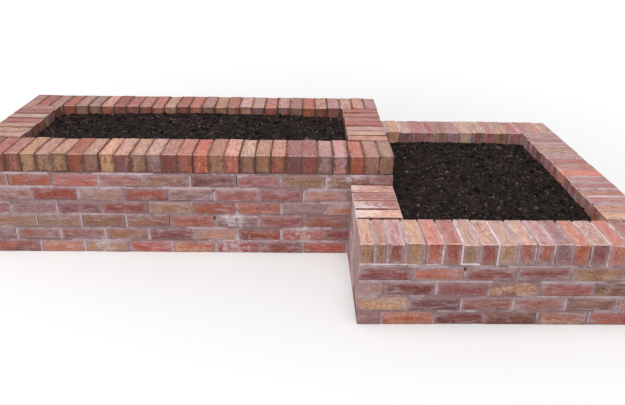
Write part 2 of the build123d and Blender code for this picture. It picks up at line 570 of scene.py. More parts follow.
def add_dust_and_painted_light(tree, shade, where, height, pits, dust_and_painted_light):
    flash = carried(tree, "flash")
    facing = parts(tree, node(tree, "ShaderNodeNewGeometry").outputs["Normal"])[2]
    # What faces up is made paler: partly dust, and partly painted light from the sky.
    top = ease(tree, facing, 0.5, 0.95, 0.0, dust_and_painted_light)
    top = maths(tree, "MULTIPLY", top, maths(tree, "MULTIPLY_ADD", flash, 1.2, 0.45))
    grains = ease(tree, maths(tree, "MULTIPLY_ADD", pits, -0.8, height), 0.5, 1.1, 0.05, 1.6)
    cream = maths(tree, "MULTIPLY_ADD", flash, 0.3, cloud(tree, where, 44.0, 4.0, 0.7))
    dust_and_painted_light_tint = blend(tree, ease(tree, cream, 0.56, 0.84), ROSY_DUST_AND_PAINTED_LIGHT, CREAM_DUST_AND_PAINTED_LIGHT)
    dust_and_painted_light_tint = blend(tree, ease(tree, carried(tree, "haze"), 0.6, 0.9), dust_and_painted_light_tint, LILAC_DUST_AND_PAINTED_LIGHT)
    return blend(tree, clamp(tree, maths(tree, "MULTIPLY", top, grains)), shade, dust_and_painted_light_tint)


def rub_brow_and_paint_highlight(tree, shade, edge, uneven, rubbed_and_highlight):
    """The upper edge of a coping brick is rubbed pale along a thin, broken line: partly wear,
    partly a painted highlight.
    """
    line = from_edge(tree, edge["Brow"], uneven, 0.006, rubbed_and_highlight, 0.012)
    return blend(tree, line, shade, RUBBED_EDGE_AND_HIGHLIGHT)


print("cream dust in linear light:", [round(part, 3) for part in CREAM_DUST_AND_PAINTED_LIGHT])

# %% [markdown]
# One recipe makes three finishes. The wall's bricks lie flat, so their drag
# marks and the wipes of haze run level. The coping's bricks stand on edge, and
# theirs run upright. The tall coping is grimy, with a thin film of painted
# shade over it, and has hardly any haze, and the low one is smeared with the
# mortar that it was bedded on. On both copings what faces up is partly painted
# light, and the rubbed upper edge is partly a painted highlight.

# %% Brick materials
BRICK_FINISHES = {
    "Wall Brick": {
        "patches": (2.4, 3.0, 2.4), "drag": (3.0, 9.0, 9.0), "wipe": (1.0, 1.0, 4.5),
        "lip": 0.85, "ends": 0.75, "foot": 0.5, "foot_reach": 0.02, "veil": 0.5,
        "grime_and_shade": 0.0, "bloom": 0.33, "dust_and_painted_light": 0.0, "rubbed_brow_and_highlight": 0.0},
    "Tall Coping Brick": {
        "patches": (2.4, 3.0, 1.2), "drag": (9.0, 4.0, 3.0), "wipe": (3.0, 3.0, 1.0),
        "lip": 0.0, "ends": 0.0, "foot": 0.0, "foot_reach": 0.01, "veil": 0.1,
        "grime_and_shade": 0.78, "bloom": 0.26, "dust_and_painted_light": 0.27, "rubbed_brow_and_highlight": 0.4},
    "Low Coping Brick": {
        "patches": (2.0, 3.0, 1.6), "drag": (6.0, 4.0, 4.0), "wipe": (2.4, 2.4, 1.4),
        "lip": 0.0, "ends": 0.7, "foot": 0.6, "foot_reach": 0.054, "veil": 0.2,
        "grime_and_shade": 0.0, "bloom": 0.37, "dust_and_painted_light": 0.33, "rubbed_brow_and_highlight": 0.7},
}


def dress(tree, shader, shade, bump, roughness, shine):
    """Give the main shader its colour, its bumps, its roughness and its shine."""
    height, strength, depth = bump
    ports = {"Height": height, "Strength": strength, "Distance": depth}
    normal = node(tree, "ShaderNodeBump", ports).outputs["Normal"]
    looks = {"Base Color": shade, "Normal": normal, "Roughness": roughness}
    for port, value in {**looks, "Specular IOR Level": shine}.items():
        plug(tree, shader.inputs[port], value)


def brick_material(name, finish):
    made, tree, shader, where = new_material(name)
    edge = use_group(tree, BRICK_EDGE)
    clay = use_group(tree, FIRED_CLAY, Where=where, Edge=edge["Edge"],
        Patches=finish["patches"], Drag=finish["drag"])
    grain = use_group(tree, SANDY_GRAIN, Where=where)
    uneven = maths(tree, "SUBTRACT", cloud(tree, where, 36.0, 5.0, 0.68), 0.5)
    shade = blend(tree, maths(tree, "MULTIPLY", grain["Pits"], 0.7), clay["Color"], DIRT)
    # Grime, with a film of painted shade over the tall coping.
    shade = add_grime_and_painted_shade(tree, shade, edge, uneven, finish["grime_and_shade"])
    shade = add_haze(tree, shade, where, edge, uneven, finish)
    bloom = use_group(tree, SALT_BLOOM, Where=where, Reach=finish["bloom"])["Mask"]
    shade = blend(tree, maths(tree, "MULTIPLY", bloom, 0.74), shade, SALT)
    # Dust on what faces up, partly painted light from the sky.
    shade = add_dust_and_painted_light(tree, shade, where, clay["Height"], grain["Pits"], finish["dust_and_painted_light"])
    # The rubbed upper edge, partly wear and partly a painted highlight.
    shade = rub_brow_and_paint_highlight(tree, shade, edge, uneven, finish["rubbed_brow_and_highlight"])
    bump = maths(tree, "ADD", clay["Height"], grain["Height"]), 0.75, 0.003
    dress(tree, shader, shade, bump, ease(tree, grain["Height"], 0.4, 0.9, 0.96, 0.84), 0.3)
    return made


BRICKS = {name: brick_material(name, finish) for name, finish in BRICK_FINISHES.items()}
print("brick materials:", list(BRICKS))

# %% [markdown]
# Mortar is sand and cement. In the walls it is a dull lilac grey, and between
# the bricks of the low coping nearly white. The tall coping's joints were raked
# out, and brick dust and dirt have turned what is left of them reddish brown.
# Each length of joint came from another trowel, so it has a tone of its own.

# %% Mortar materials
def mortar_material(name, dark, light, bloom_reach):
    made, tree, shader, where = new_material(name)
    grain = use_group(tree, SANDY_GRAIN, Where=where)
    broad = maths(tree, "SUBTRACT", cloud(tree, where, 26.0, 6.0, 0.75), 0.15)
    tone = maths(tree, "MULTIPLY_ADD", carried(tree, "clay"), 0.3, broad)
    shade = blend(tree, ease(tree, tone, 0.36, 0.68), dark, light)
    shade = speckle(tree, shade, cloud(tree, where, 330.0, 3.0, 0.7), *SAND)
    shade = blend(tree, maths(tree, "MULTIPLY", grain["Pits"], 0.5), shade, DIRT)
    bloom = use_group(tree, SALT_BLOOM, Where=where, Reach=bloom_reach)["Mask"]
    shade = blend(tree, maths(tree, "MULTIPLY", bloom, 0.6), shade, SALT)
    dress(tree, shader, shade, (grain["Height"], 0.7, 0.0018), 0.95, 0.2)
    return made


WALL_MORTAR = mortar_material(
    "Wall Mortar", colour(148, 122, 122), colour(198, 176, 181), 0.36)
LOW_COPING_MORTAR = mortar_material(
    "Low Coping Mortar", colour(170, 146, 144), colour(236, 220, 219), 0.34)
RAKED_MORTAR = mortar_material(
    "Raked Mortar", colour(104, 54, 46), colour(148, 98, 84), 0.2)
print("materials so far:", [made.name for made in bpy.data.materials])

# %% [markdown]
# A plain cube stretched to a brick's size has razor edges and one flat shade
# over each face. So the shape to be laid is a blank: a cube from -1 to 1 that
# is cut across a few times, with a narrow border round each face. Edges
# between a flat and its border are sharp, and the rest are shaded smooth, so
# the flats stay flat and the worn edge looks round. The corners that a few
# hundred bricks repeat add up, so the cuts are few: more on the coping, which
# is seen close, and none of the border on mortar.

# %% Brick blanks
BORDER = 0.9


def cube_corners(axis, side, across, up, a, b):
    """The four corners, as numbered along each axis, of one patch of a side."""
    for step_a, step_b in ((0, 0), (1, 0), (1, 1), (0, 1)):
        index = [0, 0, 0]
        index[axis], index[across], index[up] = side, a + step_a, b + step_b
        yield tuple(index)


def corner_place(marks, index):
    return [marks[axis][number] for axis, number in enumerate(index)]


def blank_shape(name, marks, smooth=True):
    """A cube cut at these marks along each axis."""
    shape = bmesh.new()
    corners, flats = {}, set()
    for axis in range(3):
        across, up = (axis + 1) % 3, (axis + 2) % 3
        last_a, last_b = len(marks[across]) - 2, len(marks[up]) - 2
        for side in (0, len(marks[axis]) - 1):
            for a, b in ((a, b) for a in range(last_a + 1) for b in range(last_b + 1)):
                loop = list(cube_corners(axis, side, across, up, a, b))
                for index in loop:
                    if index not in corners:
                        corners[index] = shape.verts.new(corner_place(marks, index))
                # Both sides of an axis are walked the same way round, so one is turned over.
                if side == 0:
                    loop.reverse()
                face = shape.faces.new([corners[index] for index in loop])
                face.smooth = smooth
                if 0 < a < last_a and 0 < b < last_b:
                    flats.add(face)
    for edge in shape.edges:
        edge.smooth = len({face in flats for face in edge.link_faces}) == 1
    mesh = bpy.data.meshes.new(name)
    shape.to_mesh(mesh)
    shape.free()
    blank = bpy.data.objects.new(name, mesh)
    bpy.context.collection.objects.link(blank)
    print(name, "has", len(mesh.polygons), "faces")
    return blank


def bordered(*inner):
    return [-1.0, -BORDER, *inner, BORDER, 1.0]


WALL_BLANK = blank_shape("wall_blank", [bordered(-0.3, 0.3), bordered(), bordered()])
COPING_BLANK = blank_shape("coping_blank",
    [bordered(-0.3, 0.3), bordered(-0.6, -0.3, 0.0, 0.3, 0.6), bordered(-0.45, 0.0, 0.45)])
MORTAR_BLANK = blank_shape("mortar_blank",
    [[-1.0, -0.5, 0.0, 0.5, 1.0], [-1.0, 1.0], [-1.0, 0.0, 1.0]], smooth=False)

# %% [markdown]
# A few hundred bricks laid by one rule are work for Geometry Nodes. An array
# modifier would repeat one brick without end, while a tree can turn, size and
# chip each one by itself. Such a tree keeps notes on the points as it goes,
# under names. The calls below add a step, write a note, read one, push points
# about without letting them out of their box, and send out the finished mesh.

# %% Calls for trees of shapes
def shape_step(tree, kind, ports=None, **settings):
    """What a new node for shapes gives at its first output."""
    return node(tree, "GeometryNode" + kind, ports, **settings).outputs[0]


def store(tree, geometry, name, value, kind="FLOAT_VECTOR", domain="POINT"):
    ports = {"Geometry": geometry, "Name": name, "Value": value}
    return shape_step(tree, "StoreNamedAttribute", ports, data_type=kind, domain=domain)


def stored(tree, name):
    return shape_step(tree, "InputNamedAttribute", {"Name": name}, data_type="FLOAT_VECTOR")


def point_place(tree):
    return shape_step(tree, "InputPosition")


def set_place(tree, geometry, **ports):
    """Move points to a Position, or by an Offset."""
    return shape_step(tree, "SetPosition", {"Geometry": geometry, **ports})


def unsettle(tree, place, noise, amount, low, high):
    """Let points wander by up to this amount, and keep them between two corners."""
    scale, detail, rough = noise
    ports = {"Vector": place, "Scale": scale, "Detail": detail, "Roughness": rough}
    push = node(tree, "ShaderNodeTexNoise", ports).outputs["Color"]
    push = vectors(tree, "SUBTRACT", push, (0.5, 0.5, 0.5))
    push = vectors(tree, "SCALE", push, maths(tree, "MULTIPLY", amount, 2.0))
    moved = vectors(tree, "ADD", place, push)
    return vectors(tree, "MINIMUM", vectors(tree, "MAXIMUM", moved, low), high)


def send_out(tree, outs, geometry, material):
    """Make every copy real, give all of it the material, and put it out."""
    real = shape_step(tree, "RealizeInstances", {"Geometry": geometry})
    made = shape_step(tree, "SetMaterial", {"Geometry": real, "Material": material})
    plug(tree, outs["Geometry"], made)


calls = shape_step, store, stored, point_place, set_place, unsettle, send_out
print("calls for shapes:", ", ".join(call.__name__ for call in calls))

# %% [markdown]
# If a blank were simply scaled, a long brick would get long borders and a
# thin one thin ones. So the middle of the blank is stretched and its border is
# set to the width of the arris, the worn edge of a brick. Then the points on
# edges and corners are pulled in, a little everywhere and further where the
# noise says that the edge was knocked. Corners belong to three faces and edges
# to two, so corners wear most, as they do on real bricks.

# %% From a blank to a worn brick
def stretch(tree, corner, arris):
    """Where a point of the blank comes to lie within its brick."""
    half = vectors(tree, "SCALE", stored(tree, "size"), 0.5)
    far = vectors(tree, "ABSOLUTE", corner)
    border = node(tree, "ShaderNodeCombineXYZ", {0: arris, 1: arris, 2: arris}).outputs[0]
    flat = vectors(tree, "MINIMUM", vectors(tree, "SCALE", far, 1 / BORDER), (1, 1, 1))
    flat = vectors(tree, "MULTIPLY", flat, vectors(tree, "SUBTRACT", half, border))
    over = vectors(tree, "SUBTRACT", far, (BORDER, BORDER, BORDER))
    over = vectors(tree, "SCALE", vectors(tree, "MAXIMUM", over, (0, 0, 0)), 1 / (1 - BORDER))
    place = vectors(tree, "ADD", flat, vectors(tree, "MULTIPLY", over, border))
    return vectors(tree, "MULTIPLY", place, vectors(tree, "SIGN", corner))


def wear_down(tree, corner, place, ins):
    """Pull in the points on edges and corners, and further where a chip is gone."""
    outer = vectors(tree, "SUBTRACT", vectors(tree, "ABSOLUTE", corner), (0.95, 0.95, 0.95))
    outer = vectors(tree, "MAXIMUM", vectors(tree, "SIGN", outer), (0, 0, 0))
    faces = vectors(tree, "DOT_PRODUCT", outer, (1, 1, 1))
    exposed = maths(tree, "MAXIMUM", maths(tree, "SUBTRACT", faces, 1.0), 0.0)
    knocks = cloud(tree, vectors(tree, "ADD", stored(tree, "centre"), place), 31.0, 2.0, 0.7)
    limit = maths(tree, "SUBTRACT", 1.0, ins["Chip Share"])
    chipped = ease(tree, knocks, limit, maths(tree, "ADD", limit, 0.22))
    chips = maths(tree, "MULTIPLY", chipped, ins["Chip Depth"])
    depth = maths(tree, "MULTIPLY_ADD", ins["Arris"], 0.28, chips)
    inwards = vectors(tree, "MULTIPLY", outer, vectors(tree, "SIGN", corner))
    pull = vectors(tree, "SCALE", inwards, maths(tree, "MULTIPLY", exposed, depth))
    return vectors(tree, "SUBTRACT", place, pull)

# %% [markdown]
# The tree puts a blank on every point, shapes and wears it, then turns it and
# sets it in its place. What differs from one kind of brickwork to the next is a
# named input. Notes that no material reads are thrown away at the end, so that
# the finished mesh doesn't carry them.

# %% The tree that lays bricks
WAVES = 24.0, 4.0, 0.65


def bricklayer():
    tree, ins, outs = new_group("Bricklayer", "GeometryNodeTree", {
        "Geometry": "Geometry", "Blank": "Object", "Arris": 0.004, "Waviness": 0.0016,
        "Chip Depth": 0.006, "Chip Share": 0.45, "Low Limit": "Vector",
        "High Limit": "Vector", "Clay": "Material"}, {"Geometry": "Geometry"})
    points = store(tree, ins["Geometry"], "centre", point_place(tree))
    blank = node(tree, "GeometryNodeObjectInfo", {"Object": ins["Blank"]}).outputs["Geometry"]
    blank = store(tree, blank, "corner", point_place(tree))
    copies = shape_step(tree, "InstanceOnPoints", {"Points": points, "Instance": blank})
    real = shape_step(tree, "RealizeInstances", {"Geometry": copies})
    corner = stored(tree, "corner")
    place = stretch(tree, corner, ins["Arris"])
    ports = {"Vector": wear_down(tree, corner, place, ins), "Rotation": stored(tree, "turn")}
    turned = node(tree, "ShaderNodeVectorRotate", ports, rotation_type="EULER_XYZ").outputs[0]
    set_in = vectors(tree, "ADD", stored(tree, "centre"), turned)
    limits = ins["Low Limit"], ins["High Limit"]
    set_in = unsettle(tree, set_in, WAVES, ins["Waviness"], *limits)
    real = store(tree, real, "place", place)
    laid = set_place(tree, real, Position=set_in)
    for spare in ("corner", "centre", "turn"):
        laid = shape_step(tree, "RemoveAttribute", {"Geometry": laid, "Name": spare})
    send_out(tree, outs, laid, ins["Clay"])
    return tree


BRICKLAYER = bricklayer()
print("nodes in the bricklayer:", len(BRICKLAYER.nodes))

# %% [markdown]
# A tree is put to work by a modifier, whose inputs go by the sockets' own
# identifiers. The evaluated object then gives a plain mesh, the modifier goes,
# and what is left is an ordinary object that any program can read.

# %% From a tree to a plain mesh
def carrier_of(name, centres=((0, 0, 0),)):
    """An object with nothing but points, for a tree to build on."""
    mesh = bpy.data.meshes.new(name)
    mesh.from_pydata([tuple(centre) for centre in centres], [], [])
    carrier = bpy.data.objects.new(name, mesh)
    bpy.context.collection.objects.link(carrier)
    return carrier


def run_tree(carrier, tree, values):
    modifier = carrier.modifiers.new(tree.name, "NODES")
    modifier.node_group = tree
    for item in tree.interface.items_tree:
        if item.item_type == "SOCKET" and item.in_out == "INPUT" and item.name in values:
            modifier[item.identifier] = values[item.name]
    bpy.context.view_layer.update()
    graph = bpy.context.evaluated_depsgraph_get()
    worked = carrier.evaluated_get(graph)
    mesh = bpy.data.meshes.new_from_object(worked, preserve_all_data_layers=True, depsgraph=graph)
    carrier.modifiers.remove(modifier)
    carrier.data = mesh
    return carrier


trees = [group.name for group in bpy.data.node_groups if group.bl_idname == "GeometryNodeTree"]
print("trees of shapes so far:", trees)

# %% [markdown]
# Two marks belong to places on the walls and not to single bricks. Salts have
# dried in patches, about twice as wide as they are high, and the left face of
# the low bed was wiped over with mortar from end to end. Both could be
# painted on. Written as places and distances, they stay easy to move.

# %% Salts and smears
SALT_PATCHES = (
    ((-0.29, -0.2, 0.19), 0.11), ((0.05, -0.2, 0.11), 0.1), ((0.21, -0.2, 0.27), 0.06),
    ((-0.29, -0.2, 0.03), 0.14), ((-0.97, -0.2, 0.04), 0.1), ((0.2, -0.2, 0.415), 0.1),
    ((0.33, -0.2, 0.415), 0.1), ((1.08, -0.76, 0.2), 0.07), ((0.29, -0.66, 0.12), 0.07),
    ((-1.2, 0.76, 0.1), 0.25), ((0.9, 0.76, 0.15), 0.2), ((1.63, 0.2, 0.1), 0.25),
    # Down the left face of the low bed they run into one pale band.
    *(((0.29, -0.46, 0.04 + 0.07 * step), 0.14) for step in range(6)))
PATCH_SQUASH = 1.9
PATCH_END = 1.4
SMEAR = 0.35
SMEAR_RIGHT = 0.2925
SMEAR_BACK = -0.21


def salt_at(place):
    """How salty the wall is here, from 0 to 1. A patch fades between 0.4 and 1.4 of its reach."""
    salty = 0.0
    for patch, reach in SALT_PATCHES:
        gap = place - Vector(patch)
        gap.z *= PATCH_SQUASH
        salty = max(salty, min(PATCH_END - gap.length / reach, 1.0))
    return salty


def smear_at(place):
    """The extra haze here, which only the low bed's left face has."""
    return SMEAR if place.x < SMEAR_RIGHT and place.y < SMEAR_BACK else 0.0


beside = Vector(SALT_PATCHES[0][0]) + Vector((0.1, 0.0, 0.0))
print("salt patches:", len(SALT_PATCHES))
print("how salty it is 100 mm beside the first:", round(salt_at(beside), 2))

# %% [markdown]
# Every brick is a small dictionary of where its centre is, its size, its turn
# and its looks. A carrier gets one point per brick, with these as attributes,
# and the tree turns the points into bricks. The salts and smears are added to
# the finished mesh, point by point, as they don't stop where a brick ends.

# %% Lay a run of bricks
def lay(name, bricks, blank, limits, clay, wear):
    carrier = carrier_of(name, [brick["centre"] for brick in bricks])
    for label in ("size", "turn"):
        layer = carrier.data.attributes.new(label, "FLOAT_VECTOR", "POINT")
        layer.data.foreach_set("vector", [part for brick in bricks for part in brick[label]])
    for label in ("clay", "flash", "haze"):
        layer = carrier.data.attributes.new(label, "FLOAT", "POINT")
        layer.data.foreach_set("value", [brick[label] for brick in bricks])
    values = {"Blank": blank, "Low Limit": limits[0], "High Limit": limits[1], "Clay": clay, **wear}
    laid = run_tree(carrier, BRICKLAYER, values)
    corners = [corner.co for corner in laid.data.vertices]
    salt = laid.data.attributes.new("salt", "FLOAT", "POINT").data
    salt.foreach_set("value", [salt_at(corner) for corner in corners])
    haze = laid.data.attributes["haze"].data
    haze.foreach_set("value", [had.value + smear_at(corner) for had, corner in zip(haze, corners)])
    return laid

# %% [markdown]
# The bricks are the usual size, 215 by 102.5 by 65 mm, with 10 mm joints. No
# two are quite alike: each is a hair off its size, its line and its colour.
# Colours come from a list of clays with a weight for each, and the list
# depends on the course: dull and red at the foot, more gold near the top. The
# low coping has a list for its long rows and a redder one for its sides. The
# seeds are plain numbers, so every run of the script lays the same wall.

# %% Bricks and lengths of mortar
BRICK_LENGTH = 0.215
BRICK_WIDTH = 0.1025
BRICK_THICKNESS = 0.065
JOINT = 0.010
COURSE = BRICK_THICKNESS + JOINT
TUCK = 0.003

MIXES = {
    "wall": {"red": 21, "orange": 14, "dull red": 12, "gold": 12, "tan": 12,
             "plum": 8, "mauve": 8, "salmon": 7, "rose": 6},
    "top of the wall": {"red": 16, "orange": 16, "dull red": 7, "gold": 22, "tan": 20,
                        "plum": 5, "salmon": 9, "rose": 5},
    "foot of the wall": {"red": 38, "orange": 14, "dull red": 28, "gold": 5, "tan": 5,
                         "plum": 5, "rose": 5},
    "tall coping": {"red": 20, "orange": 20, "dull red": 8, "gold": 15, "tan": 12,
                    "plum": 5, "mauve": 7, "salmon": 8, "rose": 5},
    "low coping": {"red": 12, "orange": 8, "dull red": 5, "gold": 20, "tan": 12,
                   "mauve": 8, "salmon": 13, "rose": 12, "buff": 10},
    "sides of the low coping": {"red": 26, "orange": 14, "dull red": 6, "gold": 10, "plum": 4,
                                "mauve": 8, "salmon": 14, "rose": 18},
}


def draw_clays(seed, mix, count):
    """Numbers on the clay shelf, each somewhere within the step of the clay that was drawn."""
    dice = random.Random(seed)
    drawn = dice.choices(list(MIXES[mix]), list(MIXES[mix].values()), k=count)
    return [(list(CLAYS).index(clay) + dice.uniform(0.05, 0.95)) / len(CLAYS) for clay in drawn]


def one_brick(dice, clay, centre, size, along, haze=1.0, slack=0.002, lean=0.3):
    """A brick that runs along this axis, a touch off its size and its line."""
    size = [side + dice.uniform(-slack, slack) for side in size]
    turn = [math.radians(dice.gauss(0.0, lean)) for _ in range(3)]
    turn[2] += math.radians(90.0 * along)
    return {"centre": centre, "size": size, "turn": turn, "clay": clay,
            "flash": dice.random() ** 1.3, "haze": dice.random() * haze}


def one_joint(dice, low, high, pale=0.0):
    """A length of mortar that fills the box between two corners."""
    return {"centre": [(a + b) / 2 for a, b in zip(low, high)],
            "size": [b - a for a, b in zip(low, high)], "turn": (0.0, 0.0, 0.0),
            "clay": min(pale + dice.random() ** 1.5, 1.0), "flash": 0.0, "haze": 0.0}


print("the weights of each mix add up to:", {sum(mix.values()) for mix in MIXES.values()})

# %% [markdown]
# Walls run left to right or front to back. To write each rule once, a point
# is given by how far it is along the wall, across it and up. The bond is
# stretcher bond, each brick over a joint of the course below. At a corner the
# two walls take turns to run through, so that one course shows a long face
# and the next a short end, and the walls hold each other as real ones do. A
# course is laid from an end that laps. From a plain end, where the low back
# wall meets the tall bed, the joints of all its courses would stand in line.

# %% Courses
Wall = namedtuple("Wall", "side start_laps end_laps haze seed")
SHORTEST_CUT = 3 * JOINT


def axes_of(side):
    """The axis along a wall, and the one across it."""
    return (0, 1) if side in ("front", "back") else (1, 0)


def point(along, first, across, up):
    return [first, across, up] if along == 0 else [across, first, up]


def spans(start, end):
    """Whole bricks from start to end, and a cut one to close the course."""
    found, at = [], start
    while end - at > SHORTEST_CUT:
        stop = min(at + BRICK_LENGTH, end)
        found.append((at, stop))
        at = stop + JOINT
    return found


def course_row(wall, start, end):
    """The bricks of a course, laid from an end that laps."""
    row = spans(start, end)
    if wall.start_laps is None:
        row = [(start + end - last, start + end - first) for first, last in reversed(row)]
    return row


def leaf_courses(box, wall, collar=0.0):
    """The bottom of each course, from the top down, and where its bricks begin and end."""
    along, _ = axes_of(wall.side)
    courses = round((box[1][2] - box[0][2]) / COURSE)
    for course in range(courses):
        held = []
        for laps in (wall.start_laps, wall.end_laps):
            if laps is None:
                held.append(JOINT)
            else:
                held.append(collar if laps == (course % 2 == 0) else collar + BRICK_WIDTH + JOINT)
        yield (courses - 1 - course) * COURSE, box[0][along] + held[0], box[1][along] - held[1]


print("bricks in a course of 2 m:", len(spans(0.0, 2.0)))

# %% [markdown]
# Each wall of the frame is two leaves, one brick wide each, that stand back to
# back with a narrow gap. The outer leaf faces the garden and the inner leaf
# the soil. One could do with the outer alone, but the inner shows wherever the
# soil lies low. Bricks stand a millimetre or two in or out of the wall's face.

# %% Bricks of one leaf
HAZE_LEFT = {"foot of the wall": 0.6, "wall": 1.0, "top of the wall": 0.7}
TOP_COURSE = 0.36
OUT_OF_LINE = 0.001
SET_IN = 0.0014, 0.0034
WALL_SLACK = 0.0024


def course_mix(bottom):
    """The clays that a course is drawn from."""
    if bottom < JOINT:
        return "foot of the wall"
    return "top of the wall" if bottom > TOP_COURSE else "wall"


def leaf_bricks(seed, box, wall, collar=0.0):
    along, across = axes_of(wall.side)
    outwards = -1 if wall.side in ("front", "left") else 1
    facing = outwards if collar == 0 else -outwards
    face = box[1][across] if facing > 0 else box[0][across]
    dice = random.Random(seed)
    bricks = []
    for bottom, start, end in leaf_courses(box, wall, collar):
        row, mix = course_row(wall, start, end), course_mix(bottom)
        haze = wall.haze * HAZE_LEFT[mix]
        clays = draw_clays(seed + round(bottom / COURSE), mix, len(row))
        for (first, last), clay in zip(row, clays):
            middle = (first + last) / 2 + dice.uniform(-OUT_OF_LINE, OUT_OF_LINE)
            depth = face - facing * (dice.uniform(*SET_IN) + BRICK_WIDTH / 2)
            centre = point(along, middle, depth, bottom + BRICK_THICKNESS / 2)
            size = (last - first, BRICK_WIDTH, BRICK_THICKNESS)
            bricks.append(one_brick(dice, clay, centre, size, along, haze, WALL_SLACK))
    return bricks


print("a course 0.4 m up is drawn from:", course_mix(0.4))

# %% [markdown]
# Mortar could be one slab behind the bricks, but a slab would look the same
# all over. Short lengths differ in tone and in how far they are set back.
# Some upright joints have shrunk from the brick beside them, a few have
# dropped out at the top and left a dark pocket, and two bed joints in five
# have a hairline crack. Each call gives one length after another: where it
# begins and ends, its foot, its top, how far it is set back and how pale it is.

# %% Upright joints and bed joints
BED_END = 0.004
BED_LENGTH = 0.16, 0.30
BED_RECESS = 0.0026, 0.0042
CRACKED_SHARE = 0.4
CRACK = -0.0006, 0.0008
UPRIGHT_RECESS = 0.0030, 0.0050
UPRIGHT_PALE = 0.2
SHRUNK_SHARE = 0.2
SHRUNK = 0.0002, 0.0016
POCKET_SHARE = 0.03
POCKET = 0.012, 0.03


def upright_joints(dice, wall, start, end, bottom, lowest, highest):
    row = course_row(wall, start, end)
    gaps = [(stop, begin) for (_, stop), (begin, _) in zip(row, row[1:])]
    if start > lowest:
        gaps.append((start - JOINT, start))
    if end < highest:
        gaps.append((end, end + JOINT))
    for stop, begin in gaps:
        pocket = dice.uniform(*POCKET) if dice.random() < POCKET_SHARE else -TUCK
        first, last = max(stop - TUCK, lowest), min(begin + TUCK, highest)
        shrunk, chance = TUCK + dice.uniform(*SHRUNK), dice.random()
        if chance < SHRUNK_SHARE:
            first += shrunk
        elif chance > 1 - SHRUNK_SHARE:
            last -= shrunk
        foot, top = max(bottom - TUCK, 0.0), bottom + BRICK_THICKNESS - pocket
        yield first, last, foot, top, dice.uniform(*UPRIGHT_RECESS), UPRIGHT_PALE


def bed_joints(dice, bottom, lowest, highest, wall_top):
    top, at = bottom + COURSE, lowest + BED_END
    while at < highest - BED_END:
        stop = min(at + dice.uniform(*BED_LENGTH), highest - BED_END)
        crack = dice.uniform(*CRACK) if dice.random() < CRACKED_SHARE else -TUCK
        foot, roof = top - JOINT - TUCK, min(top - crack, wall_top)
        yield at - TUCK, stop, foot, roof, dice.uniform(*BED_RECESS), 0.0
        at = stop


trial = list(bed_joints(random.Random(1), 0.0, 0.0, 2.0, 1.0))
print("lengths of mortar in 2 m of bed joint:", len(trial))

# %% [markdown]
# Only the outer leaf gets joints of its own. The inner one lies behind soil,
# and the core of the wall, which comes next, fills its joints. Each length is a
# box that stops 20 mm short of the leaf's back. The tree that lays bricks lays
# it too, from a blank of its own.

# %% Joints of one leaf
BEHIND = 0.02


def set_back(side, outer, inner):
    """How far mortar stays within its box at the low side and at the high side."""
    return (outer, inner) if side in ("front", "left") else (inner, outer)


def leaf_joints(dice, box, wall):
    along, across = axes_of(wall.side)
    lowest, highest = box[0][along], box[1][along]
    joints = []
    for bottom, start, end in leaf_courses(box, wall):
        uprights = upright_joints(dice, wall, start, end, bottom, lowest, highest)
        beds = bed_joints(dice, bottom, lowest, highest, box[1][2])
        for first, last, foot, top, recess, pale in chain(uprights, beds):
            near, far = set_back(wall.side, recess, BEHIND)
            low = point(along, first, box[0][across] + near, foot)
            high = point(along, last, box[1][across] - far, top)
            joints.append(one_joint(dice, low, high, pale))
    return joints


trial = leaf_joints(random.Random(1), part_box("low_left_outer"), Wall("left", False, None, 1.0, 1))
print("lengths of mortar in a trial of the low left wall:", len(trial))

# %% [markdown]
# Behind the joints the two leaves are filled with mortar. It shows only where
# a joint has cracked or dropped out, so a rough block in each wall will do,
# and no light comes through. Its tree cuts a block into squares and unsettles
# its points. The soil starts from the same cut block, so that is a call.

# %% The core of a wall
def cut_block(tree, ins, axes):
    """A block between two corners, cut along these axes as finely as the spacing asks."""
    size = vectors(tree, "SUBTRACT", ins["High Corner"], ins["Low Corner"])
    middle = vectors(tree, "ADD", ins["High Corner"], ins["Low Corner"])
    middle = vectors(tree, "SCALE", middle, 0.5)
    ports = {"Size": size}
    for axis, side in zip("XYZ", parts(tree, size)):
        if axis in axes:
            squares = maths(tree, "CEIL", maths(tree, "DIVIDE", side, ins["Spacing"]))
            ports["Vertices " + axis] = maths(tree, "ADD", squares, 1.0)
    block = shape_step(tree, "MeshCube", ports)
    moved = shape_step(tree, "Transform", {"Geometry": block, "Translation": middle})
    return moved, size, middle


CORE_NOISE = 40.0, 3.0, 0.5
CORE_SHAPE = {"Spacing": 0.03, "Roughness": 0.002}
CORE_RECESS = 0.018


def core_packer():
    tree, ins, outs = new_group("Core Packer", "GeometryNodeTree", {
        "Geometry": "Geometry", "Low Corner": "Vector", "High Corner": "Vector",
        **CORE_SHAPE, "Mortar": "Material"}, {"Geometry": "Geometry"})
    block, _, _ = cut_block(tree, ins, "XYZ")
    limits = ins["Low Corner"], ins["High Corner"]
    place = unsettle(tree, point_place(tree), CORE_NOISE, ins["Roughness"], *limits)
    send_out(tree, outs, set_place(tree, block, Position=place), ins["Mortar"])
    return tree


def pack_core(name, low, high, mortar):
    low = [low[0] + CORE_RECESS, low[1] + CORE_RECESS, low[2]]
    high = [high[0] - CORE_RECESS, high[1] - CORE_RECESS, high[2]]
    values = {"Low Corner": low, "High Corner": high, "Mortar": mortar, **CORE_SHAPE}
    return run_tree(carrier_of(name), CORE_PACKER, values)


CORE_PACKER = core_packer()
print("nodes in the core packer:", len(CORE_PACKER.nodes))

# %% [markdown]
# Eight walls make the two beds. The low bed's left and back walls butt
# against the tall one at one end, where no bricks lap, and None stands for
# that. The bricks of a wall stand in for its two nodes in the frame, and the
# joints and the core are pieces of their own beside them. The low front got
# less haze than the rest.

